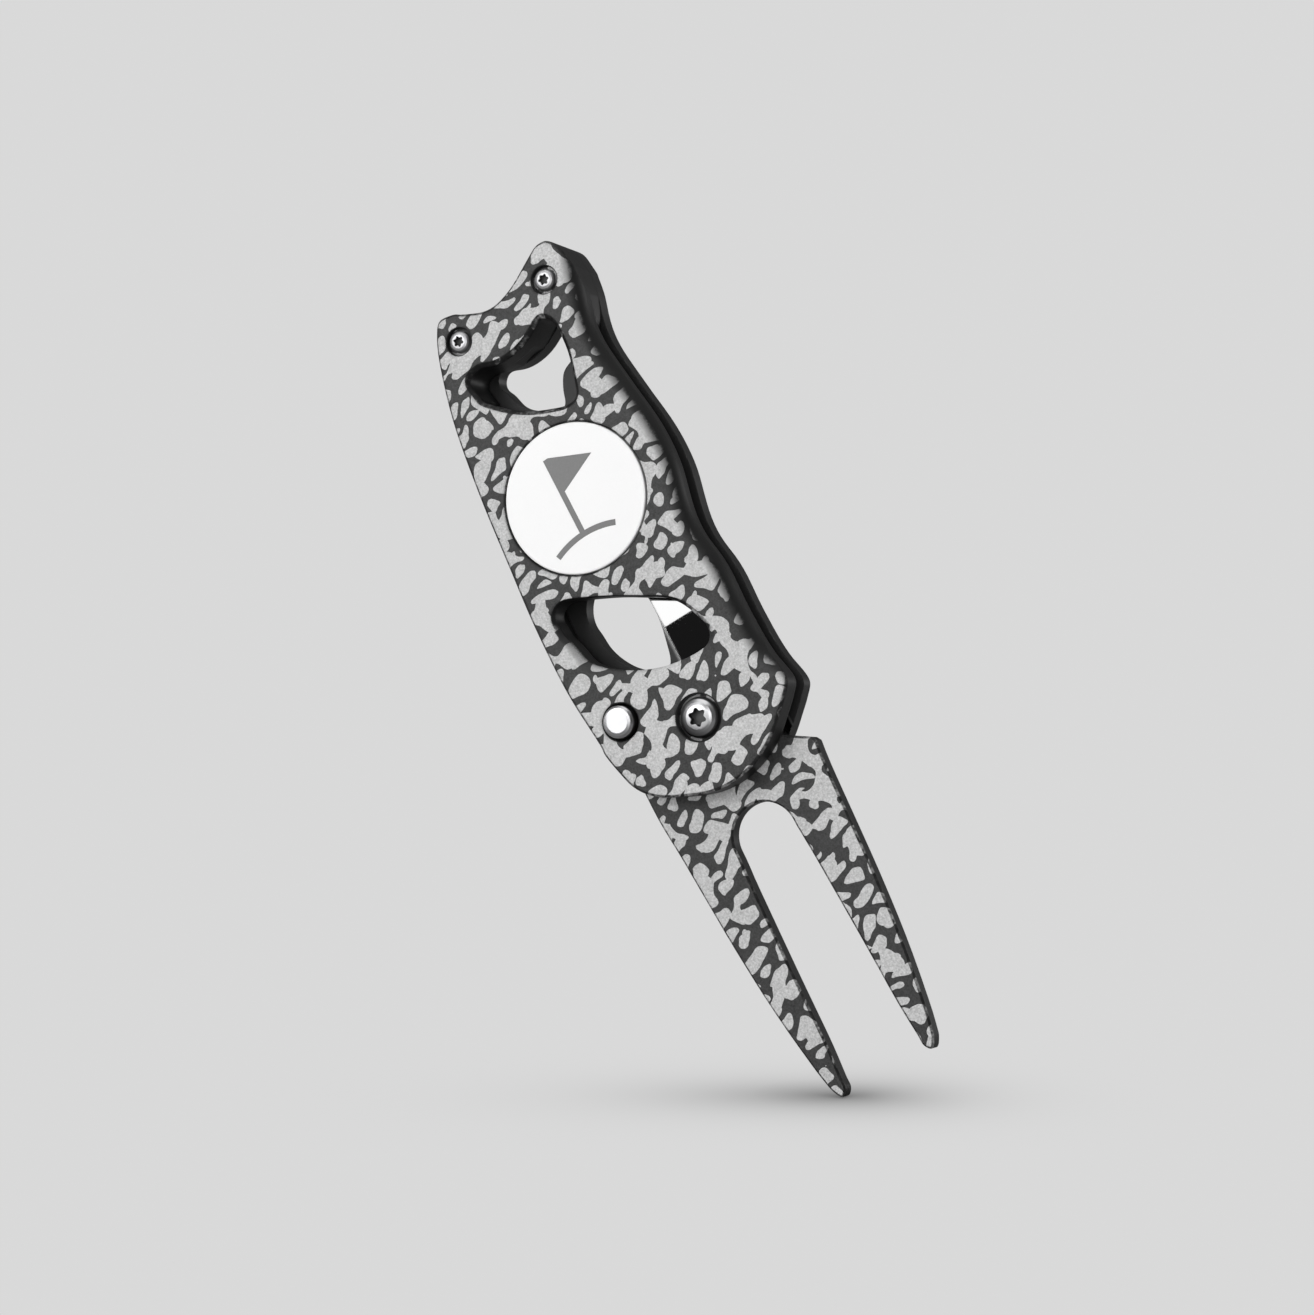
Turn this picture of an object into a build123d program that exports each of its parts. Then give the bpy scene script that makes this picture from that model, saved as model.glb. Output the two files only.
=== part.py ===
from build123d import *
import os
from math import cos, sin, radians, pi, atan2, degrees, hypot

# Folding divot repair tool, shown open, in mm: two handle shells with a fork hinged between them.
# +X is right seen from the front, +Y is to the back, +Z is up the long axis, fork tips down.
# Parts are drawn about the ball marker's centre on the front face, and shifted to the final
# origin (middle of the bounding box's bottom) when written.  Points are (x, z) unless noted.

PART_SHIFT = (-0.519, -4.8, 101.0)   # drawing origin -> final frame

# ---- driving dimensions ----------------------------------------------------
T_FRONT = 4.1                        # front shell plate
T_SLOT = 3.4                         # gap between the shells for the fork
T_BACK = 3.5                         # back shell plate
SLOT_FRONT = T_FRONT                 # y of the slot's front and back walls
SLOT_BACK = T_FRONT + T_SLOT
BACK = T_FRONT + T_SLOT + T_BACK     # y of the handle's back face
FRONT_BEVEL, BACK_BEVEL = 0.4, 0.7   # outer edges of the shells
GRIP_ROUND = 2.75                    # rounding along the front shell's right side
OVERCUT = 1.0                        # how far a cutter runs past the face it opens

FORK_T = 3.0
FORK_FRONT = SLOT_FRONT + 0.2        # y of the fork's faces
FORK_BACK = FORK_FRONT + FORK_T
FORK_X = 0.75                        # fork centre line
FORK_BEVELS = (0.38, 0.34, 0.3, 0.25)   # tried in turn, largest first
RELIEF_W, RELIEF_D = 0.75, 1.15      # sloping relief on the back of the prongs

PIVOT = (1.5, -40.2)                 # fork hinge axis
BARREL_R = 2.5                       # pivot barrel outside radius
BARREL_BORE_R = 1.52
RUN = 0.03                           # radial running clearance
FIT = 0.02                           # radial clearance of fixed parts
PIN_FIT = 0.01                       # radial clearance of pins and inserts
WASHER_FIT = 0.01                    # clearance on each face of a washer
BUSH_R = 3.3                         # fork bushing outside radius
HEAD_SEAT_R = 3.62                   # recesses for the pivot screw head and barrel flange
FLANGE_R = 3.55                      # barrel flange
FRONT_WASHER_R, BACK_WASHER_R = 6.4, 8.3
BACK_WASHER_BORE_R = 5.05            # wide: the spring's moving leg crosses it

BUTTON = (-10.2, -34.45)             # release button axis
BUTTON_R = 2.55                      # button head radius
BUTTON_OUT = 1.4                     # how far the button stands proud
COLLAR_R = 3.3                       # button collar radius
COLLAR_GAP = 0.1                     # clearance between the collar and the fork's tang
BUTTON_CAVITY_FLOOR = 2.3            # y of the floor of the hollow in the button's back
# fork tang radius round the pivot: just clears the collar at every angle
TANG_R = hypot(BUTTON[0] - PIVOT[0], BUTTON[1] - PIVOT[1]) - COLLAR_R - COLLAR_GAP

SPRING_R = 4.1                       # torsion spring: mean radius
WIRE = 0.6
LEG_ANGLE = 250.0                    # where the legs leave the coil, degrees
SPRING_TURNS, SPRING_PITCH = 2.0, 0.66
LEG_BEND_R = 0.7
SPRING_POCKET_R, SPRING_POCKET_D = 4.95, 2.05

BUTTON_SPRING_R, BUTTON_WIRE = 1.25, 0.4
BUTTON_SPRING_TURNS = 7.0
BUTTON_SPRING_SEAT = 2.35            # y where the button spring starts

MARKER_R, MARKER_T = 12.0, 1.6
MARKER_PROUD = 0.12
MARKER_GAP = 0.16
MARKER_BACK = MARKER_T - MARKER_PROUD   # y of the marker's back face
MAGNET_R, MAGNET_T = 5.0, 1.9
MAGNET_BEVEL = 0.2
EMBLEM_D = 0.15

SCREWS = [(-5.33, 32.4), (12.1, 33.0)]   # body screws
SCREW_HEAD_R, SCREW_SHANK_R = 1.8, 1.0
INSERT_R, INSERT_FLANGE_R = 1.6, 2.3

PINS = [(-13.15, 2.5), (-14.55, -22.0)]  # locating pins
PIN_R = 0.75
STOP_PIN = (-12.75, -38.72)
STOP_PIN_R = 1.1
PIN_REACH = 1.8                      # how far a pin enters a shell
PIN_HOLE_D = PIN_REACH + 0.1

# ---- handle outline, clockwise seen from the front -------------------------
LEFT = [(-8.6, 35.0), (-9.9, 31.9), (-10.9, 28.6), (-12.55, 21.7), (-13.6, 14.6),
        (-14.5, 6.1), (-15.25, -4.0), (-15.85, -12.0), (-16.12, -20.0),
        (-15.85, -29.0), (-15.1, -36.5), (-13.95, -42.6)]
BOTTOM_LEFT = [(-13.95, -42.6), (-12.7, -45.3), (-10.4, -47.6)]
BOTTOM = [(-10.4, -47.6), (-7.4, -49.25), (-3.6, -50.85), (0.6, -51.65), (4.2, -51.35),
          (7.9, -50.1), (11.0, -48.2), (13.6, -45.9), (15.4, -44.2)]
BOTTOM_RIGHT = [(15.4, -44.2), (16.85, -42.4), (16.9, -40.9)]
RIGHT = [(16.9, -40.9), (16.3, -38.2), (15.85, -35.0), (15.7, -31.0), (15.72, -27.0),
         (15.9, -22.5), (15.65, -19.0), (15.15, -16.0), (15.02, -13.6), (15.25, -11.0),
         (15.95, -7.6), (16.75, -4.0), (17.1, -0.5), (17.12, 2.5), (16.8, 6.5),
         (16.25, 10.2), (15.8, 13.6), (15.3, 17.4), (15.05, 20.6), (15.2, 23.2),
         (15.9, 26.4), (16.75, 29.5), (17.12, 32.2), (17.0, 34.6)]
TOP_RIGHT = [(17.0, 34.6), (16.6, 36.7), (15.5, 38.15), (13.8, 38.6)]
TOP = [(13.8, 38.6), (12.3, 38.15), (10.4, 37.15), (8.5, 36.1), (6.5, 35.15), (4.2, 34.4),
       (2.0, 34.15), (0.2, 34.5), (-1.4, 35.25), (-3.4, 36.35), (-4.9, 37.05)]
TOP_LEFT = [(-4.9, 37.05), (-6.9, 37.2), (-8.6, 35.0)]
OUTLINE = [LEFT, BOTTOM_LEFT, BOTTOM, BOTTOM_RIGHT, RIGHT, TOP_RIGHT, TOP, TOP_LEFT]

# path of the grip rounding: along RIGHT, running off the handle at both ends
GRIP_PATH = ([(21.2, -44.9), (18.6, -41.9), (17.0, -38.6)] + RIGHT[2:-2]
             + [(17.35, 31.7), (18.3, 34.5), (19.8, 37.0), (21.9, 39.4)])

# ---- openings, closed loops ------------------------------------------------
CRESCENT_FRONT = [
    (-6.95, 24.0), (-6.2, 26.6), (-4.2, 26.75), (-2.1, 25.95), (0.4, 25.6), (2.9, 25.8),
    (4.9, 26.4), (6.9, 27.4), (8.6, 28.0), (9.75, 26.9), (10.15, 24.0), (9.8, 20.6),
    (9.2, 18.3), (8.5, 15.9), (7.6, 14.1), (5.9, 13.75), (3.6, 14.45), (0.8, 15.7),
    (-1.7, 17.25), (-3.6, 18.8), (-5.2, 20.4), (-6.5, 22.0)]
CRESCENT_BACK = [
    (-5.05, 24.0), (-4.9, 26.1), (-3.7, 26.9), (-1.7, 26.3), (1.6, 25.7), (4.6, 26.2),
    (7.2, 27.4), (8.9, 27.9), (10.0, 26.6), (10.1, 24.2), (9.0, 22.6), (6.9, 21.7),
    (5.5, 21.0), (4.5, 19.6), (3.8, 18.0), (3.1, 16.3), (1.6, 15.7), (-0.2, 16.9),
    (-2.3, 18.7), (-4.0, 20.8)]
FINGER_FRONT = [
    (-12.35, -15.6), (-11.6, -13.6), (-9.9, -13.05), (-8.3, -13.55), (-5.0, -15.1),
    (-1.2, -17.05), (2.6, -19.35), (5.6, -21.3), (7.5, -23.5), (8.8, -26.4),
    (9.35, -28.9), (8.6, -30.6), (6.3, -31.25), (3.2, -31.0), (0.0, -30.35),
    (-4.2, -28.6), (-8.3, -25.9), (-10.6, -23.1), (-11.4, -20.0), (-12.2, -17.6)]
# rim of the slope round FINGER_FRONT; its points pair with that loop's
FINGER_SCOOP = [
    (-13.0, -15.7), (-11.8, -13.35), (-9.9, -12.85), (-8.2, -13.35), (-4.9, -14.92),
    (-1.1, -16.9), (2.7, -19.15), (5.85, -21.05), (8.0, -23.2), (9.5, -26.3),
    (10.2, -29.6), (9.2, -32.5), (6.4, -33.7), (2.9, -33.1), (-0.6, -32.0),
    (-5.1, -30.2), (-9.6, -27.3), (-12.0, -24.0), (-12.6, -20.3), (-13.1, -17.7)]
FINGER_BACK = [
    (-10.1, -17.8), (-9.5, -14.2), (-7.6, -12.2), (-4.9, -11.6), (-2.1, -12.5),
    (-0.1, -14.8), (0.6, -18.0), (0.5, -22.6), (-0.3, -26.6), (-1.2, -29.0),
    (-2.5, -29.9), (-4.4, -28.6), (-6.8, -26.5), (-8.7, -23.8), (-9.8, -20.6)]

# Room for the fork and its sweep in the middle layer: a curved edge closed by straight
# lines through the corners.  The rest of that layer is the front shell's solid spine.
ROOM_EDGE = [
    (-14.2, -37.2), (-13.75, -34.5), (-13.4, -30.0), (-13.15, -26.0), (-13.05, -20.0),
    (-12.75, -12.0), (-12.35, -4.0), (-11.8, 4.0), (-11.0, 10.5), (-9.6, 15.5),
    (-8.0, 19.0), (-7.0, 22.0), (-5.0, 23.6), (9.2, 24.6), (10.6, 23.4),
    (12.4, 22.6), (14.2, 23.6), (16.2, 27.6), (22, 31.0)]
ROOM_CORNERS = [(22, -60), (-22, -60), (-22, -37.2)]

# ---- fork prong, (half-width about FORK_X, z) ------------------------------
PRONG_OUTER = [
    (14.36, -51.6), (13.98, -56.0), (13.7, -60.5), (13.45, -64.6), (13.2, -68.8),
    (12.9, -73.2), (12.55, -77.4), (12.15, -81.6), (11.65, -85.8), (11.05, -90.0),
    (10.4, -94.0), (9.75, -97.4)]
PRONG_TIP = [(9.75, -97.4), (9.0, -99.95), (8.0, -101.0), (7.15, -100.2), (6.95, -98.2)]
PRONG_INNER = [
    (6.95, -98.2), (6.6, -93.8), (6.38, -88.0), (6.2, -82.0), (5.97, -76.0),
    (5.72, -70.0), (5.46, -64.5), (5.25, -60.55)]
SLOT_TOP = -55.3                     # z of the top of the slot between the prongs
RELIEF_EDGE = [(13.86, -57.6)] + PRONG_OUTER[2:-1] + [(9.85, -96.9), (9.45, -98.7)]
RELIEF_FADE = [0.0, 0.5, 0.9, 1, 1, 1, 1, 1, 1, 0.9, 0.55, 0.0]   # share of the inset, per point


# ---- helpers ---------------------------------------------------------------
def vec(p):
    return Vector(p[0], 0, p[1])


def line(a, b):
    return Line(vec(a), vec(b))


def spline(points, start_dir=None, end_dir=None):
    if start_dir is None:
        return Spline(*[vec(p) for p in points])
    return Spline(*[vec(p) for p in points], tangents=[vec(start_dir), vec(end_dir)])


def closed_spline(points):
    return Face(Wire([Spline(*[vec(p) for p in points], periodic=True)]))


def polygon(vectors):
    following = vectors[1:] + vectors[:1]
    return Face(Wire([Line(a, b) for a, b in zip(vectors, following)]))


def prism(face, y0, y1):
    return Pos(0, y0, 0) * extrude(face, amount=y1 - y0, dir=(0, 1, 0))


def rod(centre, radius, y0, y1):
    cylinder = Cylinder(radius, y1 - y0, align=(Align.CENTER, Align.CENTER, Align.MIN))
    return Pos(centre[0], y0, centre[1]) * Rot(-90, 0, 0) * cylinder


def cone(centre, r0, r1, y0, y1):
    solid = Cone(r0, r1, y1 - y0, align=(Align.CENTER, Align.CENTER, Align.MIN))
    return Pos(centre[0], y0, centre[1]) * Rot(-90, 0, 0) * solid


def turned(centre, profile):
    """Solid of revolution about a Y axis; profile is a list of (radius, y)."""
    x, z = centre
    face = polygon([Vector(x + r, y, z) for r, y in profile])
    return revolve(face, axis=Axis((x, 0, z), (0, 1, 0)), revolution_arc=360)


def six_lobe(centre, radius, y0, y1, turn):
    """Six-lobed driver recess; radius is half the point-to-point width."""
    x, z = centre
    points = []
    n = 36
    for i in range(n):
        angle = 2 * pi * i / n
        r = radius * (0.86 + 0.14 * cos(6 * angle))
        points.append((x + r * cos(angle + turn), z + r * sin(angle + turn)))
    return prism(closed_spline(points), y0, y1)


def polar(centre, radius, angle):
    return (centre[0] + radius * cos(radians(angle)), centre[1] + radius * sin(radians(angle)))


def arc(centre, radius, start, end):
    angles = (start, (start + end) / 2, end)
    return ThreePointArc(*[vec(polar(centre, radius, angle)) for angle in angles])


def direction(a, b):
    """Unit vector from a to b."""
    length = hypot(b[0] - a[0], b[1] - a[1])
    return ((b[0] - a[0]) / length, (b[1] - a[1]) / length)


def reverse(d):
    return (-d[0], -d[1])


def bearing(a, b):
    """Angle of b seen from a, in degrees."""
    return degrees(atan2(b[1] - a[1], b[0] - a[0]))


def grown(points, offset):
    """The loop's points pushed outward."""
    n = len(points)
    area = sum(points[i][0] * points[(i + 1) % n][1] - points[(i + 1) % n][0] * points[i][1]
               for i in range(n))
    sign = 1.0 if area > 0 else -1.0
    out = []
    for i in range(n):
        d = direction(points[i - 1], points[(i + 1) % n])
        out.append((points[i][0] + sign * offset * d[1], points[i][1] - sign * offset * d[0]))
    return out


def scoop(front_loop, back_loop, y0, y1):
    """Sloping cutter between two closed loops."""
    front = Pos(0, y0, 0) * closed_spline(front_loop)
    back = Pos(0, y1, 0) * closed_spline(back_loop)
    return loft([front, back], ruled=True)


def bevelled(body, edges, size):
    # The kernel may refuse the chamfer; the body then stays sharp.
    try:
        return chamfer(edges, size)
    except Exception:
        return body


def counterbore(body, centre, radius, floor, mouth_radius, mouth_depth, mouth_start=-0.05):
    """Hole from the front face down to y = floor, with a bevelled mouth."""
    body = body - rod(centre, radius, -OVERCUT, floor)
    return body - cone(centre, mouth_radius, radius, mouth_start, mouth_depth)


def outline_face():
    """Smooth closed outline; neighbouring runs share their end directions."""
    joints = []
    for i, run in enumerate(OUTLINE):
        following = OUTLINE[(i + 1) % len(OUTLINE)]
        joints.append(direction(run[-2], following[1]))
    return Face(Wire([spline(run, joints[i - 1], joints[i]) for i, run in enumerate(OUTLINE)]))


# ---- front shell -----------------------------------------------------------
def room_face():
    right, left, shoulder = ROOM_CORNERS
    return Face(Wire([line(shoulder, ROOM_EDGE[0]), spline(ROOM_EDGE),
                      line(ROOM_EDGE[-1], right), line(right, left), line(left, shoulder)]))


def grip_cutter():
    """Swept cutter that rounds the right side of the front face."""
    path = spline(GRIP_PATH)
    travel = path % 0
    start = path @ 0
    outward = Vector(travel.Z, 0, -travel.X)
    centre = GRIP_ROUND - 0.035      # depth of the rounding's centre from face and side
    side_reach = 3.4
    front_y = -1.2

    def at(out, y):
        return start + outward * out + Vector(0, y, 0)

    # quarter circle from the front face to the side wall
    quarter = [(-centre + GRIP_ROUND * cos(radians(angle)),
                centre + GRIP_ROUND * sin(radians(angle))) for angle in (270, 315, 360)]
    face_end, side_end = quarter[0], quarter[-1]
    edges = [ThreePointArc(*[at(*q) for q in quarter]),
             Line(at(*side_end), at(side_reach, side_end[1])),
             Line(at(side_reach, side_end[1]), at(side_reach, front_y)),
             Line(at(side_reach, front_y), at(face_end[0], front_y)),
             Line(at(face_end[0], front_y), at(*face_end))]
    return sweep(Face(Wire(edges)), path=Wire([path]), is_frenet=False)


def make_front_shell():
    plate = prism(outline_face(), 0.0, SLOT_FRONT)
    front_edges = plate.edges().filter_by_position(Axis.Y, -0.01, 0.01)
    body = bevelled(plate, front_edges, FRONT_BEVEL)
    # spine, sunk slightly into the plate so that they fuse
    spine = (prism(outline_face(), SLOT_FRONT - 0.001, SLOT_BACK)
             - prism(room_face(), SLOT_FRONT - 0.5, SLOT_BACK + 0.5))
    spine = spine - rod(BUTTON, COLLAR_R + 0.25, SLOT_FRONT - 0.5, SLOT_BACK + 0.5)
    for piece in [s for s in spine.solids() if s.volume > 5]:   # slivers are dropped
        body = body + piece
    body = body - grip_cutter()
    # openings
    body = body - prism(closed_spline(CRESCENT_FRONT), -OVERCUT, SLOT_BACK + OVERCUT)
    body = body - scoop(grown(CRESCENT_FRONT, 0.75), CRESCENT_FRONT, -0.05, 0.75)
    body = body - prism(closed_spline(FINGER_FRONT), -OVERCUT, SLOT_BACK + OVERCUT)
    body = body - scoop(FINGER_SCOOP, FINGER_FRONT, -0.02, 0.62)
    # ball marker recess and magnet pocket
    recess_r = MARKER_R + MARKER_GAP
    recess_floor = MARKER_BACK + 0.02
    body = counterbore(body, (0, 0), recess_r, recess_floor, recess_r + 0.28, 0.2,
                       mouth_start=-0.08)
    body = body - rod((0, 0), MAGNET_R + 0.05, 0, recess_floor + MAGNET_T + 0.1)
    # pivot head seat and barrel bore
    body = counterbore(body, PIVOT, HEAD_SEAT_R, 1.25, 3.9, 0.25)
    body = body - rod(PIVOT, BARREL_R + FIT, 0, SLOT_FRONT + OVERCUT)
    # button hole
    body = counterbore(body, BUTTON, BUTTON_R + 0.3, SLOT_FRONT + OVERCUT,
                       BUTTON_R + 0.62, 0.35)
    for screw in SCREWS:
        body = counterbore(body, screw, SCREW_HEAD_R + 0.42, 0.95, SCREW_HEAD_R + 0.62, 0.16)
        body = body - rod(screw, SCREW_SHANK_R + 0.06, 0, SLOT_BACK + OVERCUT)
    for pin in PINS:
        body = body - rod(pin, PIN_R + PIN_FIT, SLOT_BACK - PIN_HOLE_D, SLOT_BACK + OVERCUT)
    return body - rod(STOP_PIN, STOP_PIN_R + PIN_FIT,
                      SLOT_FRONT - PIN_HOLE_D, SLOT_FRONT + OVERCUT)


# ---- back shell ------------------------------------------------------------
def spring_slot():
    """Straight slot for the torsion spring's fixed leg, tangential to the coil."""
    length = 4.6
    half_width = WIRE / 2 + 0.15
    start = polar(PIVOT, SPRING_R, LEG_ANGLE)
    along = (cos(radians(LEG_ANGLE - 90)), sin(radians(LEG_ANGLE - 90)))
    end = (start[0] + along[0] * length, start[1] + along[1] * length)
    side = (along[1] * half_width, -along[0] * half_width)
    corners = [(start[0] + side[0], start[1] + side[1]), (end[0] + side[0], end[1] + side[1]),
               (end[0] - side[0], end[1] - side[1]), (start[0] - side[0], start[1] - side[1])]
    face = polygon([vec(p) for p in corners])
    return prism(face, SLOT_BACK - OVERCUT, SLOT_BACK + SPRING_POCKET_D)


def make_back_shell():
    inside, outside = SLOT_BACK - OVERCUT, BACK + OVERCUT
    body = prism(outline_face(), SLOT_BACK, BACK)
    back_edges = body.edges().filter_by_position(Axis.Y, BACK - 0.01, BACK + 0.01)
    body = bevelled(body, back_edges, BACK_BEVEL)
    # openings, each with a slope of equal depth and width
    for loop, slope in ((CRESCENT_BACK, 0.55), (FINGER_BACK, 0.8)):
        body = body - prism(closed_spline(loop), inside, outside)
        body = body - scoop(loop, grown(loop, slope), BACK - slope, BACK + 0.05)
    # pivot barrel bore, flange seat and spring pocket
    body = body - rod(PIVOT, BARREL_R + FIT, inside, outside)
    body = body - rod(PIVOT, HEAD_SEAT_R, BACK - 0.95, outside)
    body = body - rod(PIVOT, SPRING_POCKET_R, inside, SLOT_BACK + SPRING_POCKET_D)
    body = body - spring_slot()
    # button pocket
    body = body - rod(BUTTON, COLLAR_R + 0.12, inside, SLOT_BACK + 2.55)
    for screw in SCREWS:
        body = body - rod(screw, INSERT_R + PIN_FIT, inside, outside)
        body = body - rod(screw, INSERT_FLANGE_R + 0.02, BACK - 0.7, outside)
    for pin in PINS:
        body = body - rod(pin, PIN_R + PIN_FIT, inside, SLOT_BACK + PIN_HOLE_D)
    return body - rod(STOP_PIN, STOP_PIN_R + PIN_FIT, inside, SLOT_BACK + PIN_HOLE_D)


# ---- fork ------------------------------------------------------------------
def on_side(points, side):
    """Half-width points placed on the left (-1) or right (+1) of the fork."""
    return [(FORK_X + side * w, z) for w, z in points]


def prong(side):
    """Outer, tip and inner points, and the directions into and out of the tip."""
    outer, tip, inner = [on_side(run, side) for run in (PRONG_OUTER, PRONG_TIP, PRONG_INNER)]
    return outer, tip, inner, direction(outer[-2], tip[1]), direction(tip[-2], inner[1])


def fork_edges():
    # collar centre in the fork's own frame when the fork is folded half a turn
    folded = (2 * PIVOT[0] - BUTTON[0], 2 * PIVOT[1] - BUTTON[1])
    notch_r = COLLAR_R + COLLAR_GAP
    edges = []
    # left prong, from the left shoulder down to the tip and up the slot
    outer, tip, inner, into_tip, out_of_tip = prong(-1)
    left_top = (-13.62, -41.2)
    edges.append(spline([left_top, (-13.7, -45.0), (-13.72, -48.6)] + outer,
                        (0.0, -1.0), into_tip))
    edges.append(spline(tip, into_tip, out_of_tip))
    edges.append(spline(inner, out_of_tip, (0, 1)))
    slot_left = inner[-1]
    # right prong, from the slot down to the tip and up to the right shoulder
    outer, tip, inner, into_tip, out_of_tip = prong(1)
    edges.append(ThreePointArc(vec(slot_left), vec((FORK_X, SLOT_TOP)), vec(inner[-1])))
    edges.append(spline(inner[::-1], (0, -1), reverse(out_of_tip)))
    edges.append(spline(tip[::-1], reverse(out_of_tip), reverse(into_tip)))
    flare_end = (15.18, -51.75)
    edges.append(spline(outer[:0:-1] + [(15.0, -53.2), flare_end],
                        reverse(into_tip), (0.12, 1.0)))
    # right shoulder: corner, sloping top edge, nick for the folded lock
    corner = (14.75, -51.0)
    nick_angle = 238.0
    edges.append(line(flare_end, corner))
    edges.append(line(corner, polar(folded, notch_r, nick_angle)))
    folded_angle = bearing(PIVOT, folded)
    edges.append(arc(folded, notch_r, nick_angle, (folded_angle + 180) % 360))
    # tang arc, counter-clockwise over the top to the open-position seat
    open_angle = bearing(PIVOT, BUTTON)
    edges.append(arc(PIVOT, TANG_R, folded_angle, open_angle))
    seat_angle = 262.0
    edges.append(arc(BUTTON, notch_r, (open_angle + 180) % 360, seat_angle))
    seat = polar(BUTTON, notch_r, seat_angle)
    # left shoulder: just clears the stop pin
    flat_z = STOP_PIN[1] - STOP_PIN_R - 0.04
    flat_right, flat_left = (seat[0] + 0.05, flat_z), (-12.7, flat_z)
    edges.append(line(seat, flat_right))
    edges.append(line(flat_right, flat_left))
    edges.append(line(flat_left, left_top))
    return edges


def back_relief(side):
    """Cutter for the sloping relief on the back of a prong's outer edge."""
    def strip(inset, y):
        edge = [(w - inset * fade + 0.03 * (1 - fade), z)
                for (w, z), fade in zip(RELIEF_EDGE, RELIEF_FADE)]
        near = on_side(edge, side)
        far = on_side([(w + 2.5, z) for w, z in RELIEF_EDGE], side)
        face = Face(Wire([spline(near), line(near[-1], far[-1]),
                          spline(far[::-1]), line(far[0], near[0])]))
        return Pos(0, y, 0) * face

    return loft([strip(0.0, FORK_BACK - RELIEF_D), strip(RELIEF_W, FORK_BACK),
                 strip(RELIEF_W + 0.2, FORK_BACK + 0.3)], ruled=True)


def make_fork():
    body = prism(Face(Wire(fork_edges())), FORK_FRONT, FORK_BACK)
    rim = [edge for edge in body.edges()
           if abs(edge.center().Y - FORK_FRONT) < 1e-4 or abs(edge.center().Y - FORK_BACK) < 1e-4]
    for size in FORK_BEVELS:
        # The kernel may refuse a size or spoil the solid; the next smaller one is then tried.
        try:
            trial = chamfer(rim, size)
            if trial.volume > 0.8 * body.volume:
                body = trial
                break
        except Exception:
            continue
    for side in (-1, 1):
        body = body - back_relief(side)
    body = body - rod(PIVOT, BUSH_R + 0.005, FORK_FRONT - OVERCUT, FORK_BACK + OVERCUT)
    # blind hole for the spring's moving leg
    leg = polar(PIVOT, SPRING_R, LEG_ANGLE)
    return body - rod(leg, WIRE / 2 + 0.12, FORK_BACK - 1.5, FORK_BACK + OVERCUT)


# ---- pivot -----------------------------------------------------------------
def ring(radius, bore_radius, y0, y1):
    """Ring round the pivot axis."""
    return (rod(PIVOT, radius, y0, y1)
            - rod(PIVOT, bore_radius, y0 - OVERCUT, y1 + OVERCUT))


def make_bushing():
    return ring(BUSH_R, BARREL_R + RUN, FORK_FRONT, FORK_BACK)


def make_pivot_barrel():
    """Flanged sleeve nut, entered from the back, with two flats' notches in its flange."""
    x, z = PIVOT
    seat = BACK - 0.93
    end = BACK - 0.05
    barrel = turned(PIVOT, [
        (BARREL_BORE_R, 1.3), (2.3, 1.3), (BARREL_R, 1.5), (BARREL_R, seat),
        (FLANGE_R, seat), (FLANGE_R, BACK - 0.25), (3.3, end), (1.9, end),
        (BARREL_BORE_R, BACK - 0.4)])
    for side in (1, -1):
        barrel = barrel - Pos(x + side * FLANGE_R, BACK - 0.2, z) * Box(0.7, 0.7, 0.9)
    return barrel


def make_pivot_screw():
    screw = turned(PIVOT, [
        (0, -0.42), (1.9, -0.42), (2.35, -0.3), (2.85, 0.02), (3.15, 0.42), (3.25, 0.8),
        (3.25, 1.23), (1.5, 1.23), (1.5, 8.6), (1.2, 8.95), (0, 8.95)])
    return screw - six_lobe(PIVOT, 1.5, -OVERCUT, 0.75, turn=radians(15))


def make_washer_front():
    return ring(FRONT_WASHER_R, BARREL_R + RUN + 0.02,
                SLOT_FRONT + WASHER_FIT, FORK_FRONT - WASHER_FIT)


def make_washer_back():
    return ring(BACK_WASHER_R, BACK_WASHER_BORE_R,
                FORK_BACK + WASHER_FIT, SLOT_BACK - WASHER_FIT)


# ---- springs ---------------------------------------------------------------
def make_torsion_spring():
    """One bent wire: a leg along -Y into the fork, two turns round the pivot,
    and a tangential leg into the back shell."""
    coil_y = SLOT_BACK + 0.12 + WIRE / 2
    bend_y = coil_y - LEG_BEND_R

    def on_coil(turn):               # clockwise seen from the front
        x, z = polar(PIVOT, SPRING_R, LEG_ANGLE - 360.0 * turn)
        return Vector(x, coil_y + SPRING_PITCH * turn, z)

    start = on_coil(0.0)
    points = [Vector(start.X, y, start.Z) for y in (FORK_BACK - 1.3, FORK_BACK - 0.6, bend_y)]
    skip = degrees(LEG_BEND_R / SPRING_R) / 360.0   # part of the first turn used by the bend
    for k in (0.35, 0.7):
        p = on_coil(skip * (1 - cos(k * pi / 2)))
        points.append(Vector(p.X, bend_y + LEG_BEND_R * sin(k * pi / 2), p.Z))
    n = 14
    for i in range(n + 1):
        points.append(on_coil(skip + (SPRING_TURNS - skip) * i / n))
    end = on_coil(SPRING_TURNS)
    end_angle = radians(LEG_ANGLE - 360.0 * SPRING_TURNS - 90)
    leg = Vector(cos(end_angle), 0, sin(end_angle))
    for distance in (1.4, 2.8, 4.3):
        points.append(end + leg * distance)
    path = Spline(*points, tangents=[(0, 1, 0), leg])
    profile = Plane(origin=points[0], z_dir=(0, 1, 0)) * Circle(WIRE / 2)
    return sweep(profile, path=path, is_frenet=False)


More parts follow.
